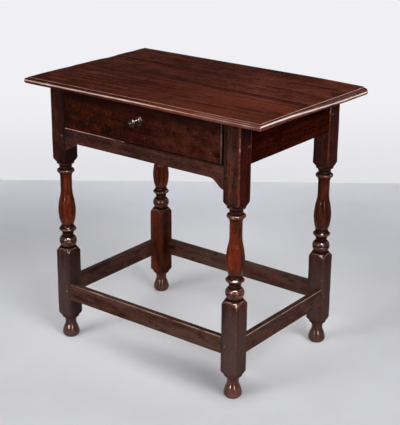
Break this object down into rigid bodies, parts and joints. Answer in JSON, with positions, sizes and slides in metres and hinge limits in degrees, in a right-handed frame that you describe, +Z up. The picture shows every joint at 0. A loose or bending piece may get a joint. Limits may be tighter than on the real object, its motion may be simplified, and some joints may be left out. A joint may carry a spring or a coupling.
{
  "type": "tavern table",
  "caption": "Small joined side table with a moulded board top, a knobbed drawer on side bearers, baluster-turned legs, ogee brackets and box stretchers.",
  "frame": {"origin": "middle of the whole outline on the floor, under the feet", "axes": "+X along the table's length, +Y from the drawer front to the back, +Z up"},
  "size_m": [0.73, 0.4836, 0.71],
  "materials": {
    "top_oak": "waxed old oak, red-brown, worn satin polish",
    "frame_oak": "waxed old oak, dark red-brown, satin polish with rubbed arrises",
    "drawer_front_oak": "waxed old oak, dark brown, satin polish",
    "inner_oak": "dry unpolished oak, brown with age",
    "peg_oak": "waxed oak, end grain",
    "knob_wood": "turned dark wood, polished nearly black",
    "nail_iron": "wrought iron, dull and dark"
  },
  "bodies": {
    "frame": {"leg_front_left": "frame_oak", "leg_front_right": "frame_oak", "leg_back_left": "frame_oak", "leg_back_right": "frame_oak", "front_drawer_rail": "frame_oak", "back_rail": "frame_oak", "side_rail_left": "frame_oak", "side_rail_right": "frame_oak", "stretcher_front": "frame_oak", "stretcher_back": "frame_oak", "stretcher_left": "frame_oak", "stretcher_right": "frame_oak", "rail_pegs": "peg_oak", "stretcher_pegs": "peg_oak", "top_board_front": "top_oak", "top_board_rear": "top_oak", "top_dowels": "peg_oak", "top_pegs": "peg_oak", "drawer_bearer_left": "inner_oak", "drawer_bearer_right": "inner_oak", "bearer_nails": "nail_iron"},
    "drawer": {"drawer_front": "drawer_front_oak", "drawer_side_left": "inner_oak", "drawer_side_right": "inner_oak", "drawer_back": "inner_oak", "drawer_bottom_left": "inner_oak", "drawer_bottom_middle": "inner_oak", "drawer_bottom_right": "inner_oak", "drawer_knob": "knob_wood", "drawer_corner_nails": "nail_iron", "drawer_bottom_nails": "nail_iron"}
  },
  "joints": [
    {"name": "drawer_slide", "type": "slide", "parent": "frame", "child": "drawer", "axis": [0, -1, 0], "range_m": [0, 0.28]}
  ]
}
